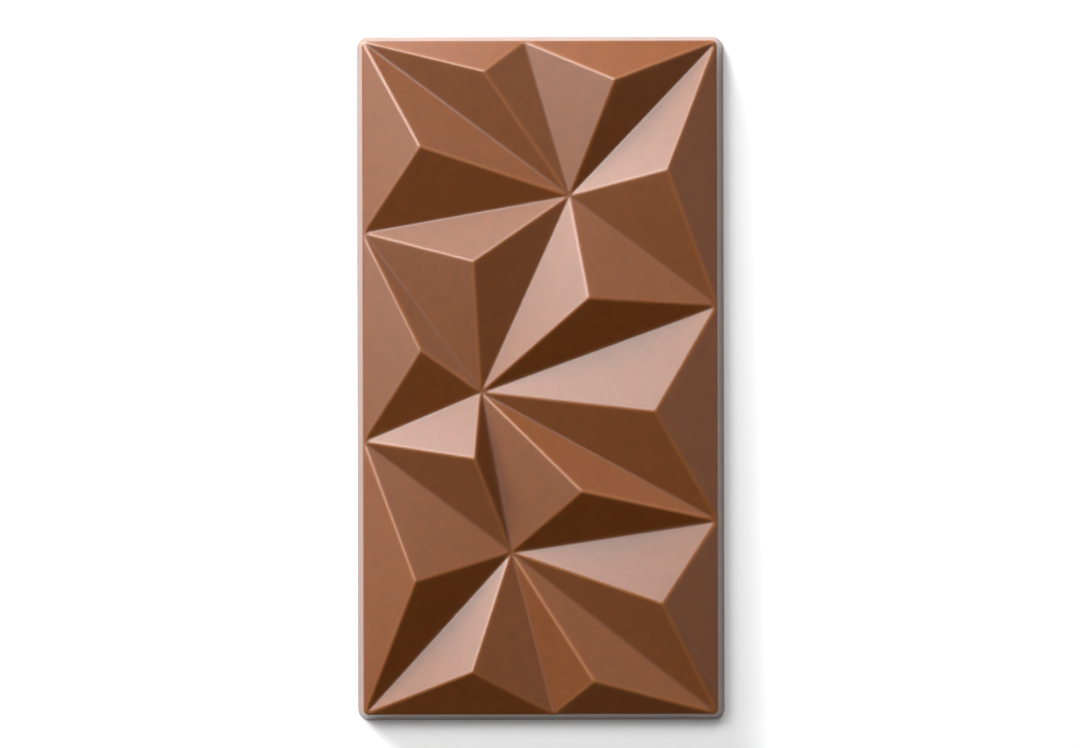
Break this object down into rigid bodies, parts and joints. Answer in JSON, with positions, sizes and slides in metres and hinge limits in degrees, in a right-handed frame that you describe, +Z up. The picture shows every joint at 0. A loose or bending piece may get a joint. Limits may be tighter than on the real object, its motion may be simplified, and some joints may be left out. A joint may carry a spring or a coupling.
{
  "type": "chocolate bar",
  "caption": "Moulded milk chocolate bar lying on its flat back, its whole top a relief of low rounded triangular pyramids inside drafted side walls.",
  "frame": {"origin": "middle of the flat back that the bar lies on", "axes": "+Z up out of the relief, +Y along the bar towards the end that is uppermost in the picture, +X across it to the right"},
  "size_m": [0.0804, 0.15, 0.0107],
  "materials": {
    "milk_chocolate": "satin"
  },
  "bodies": {
    "root": {"chocolate_bar": "milk_chocolate"}
  },
  "joints": []
}
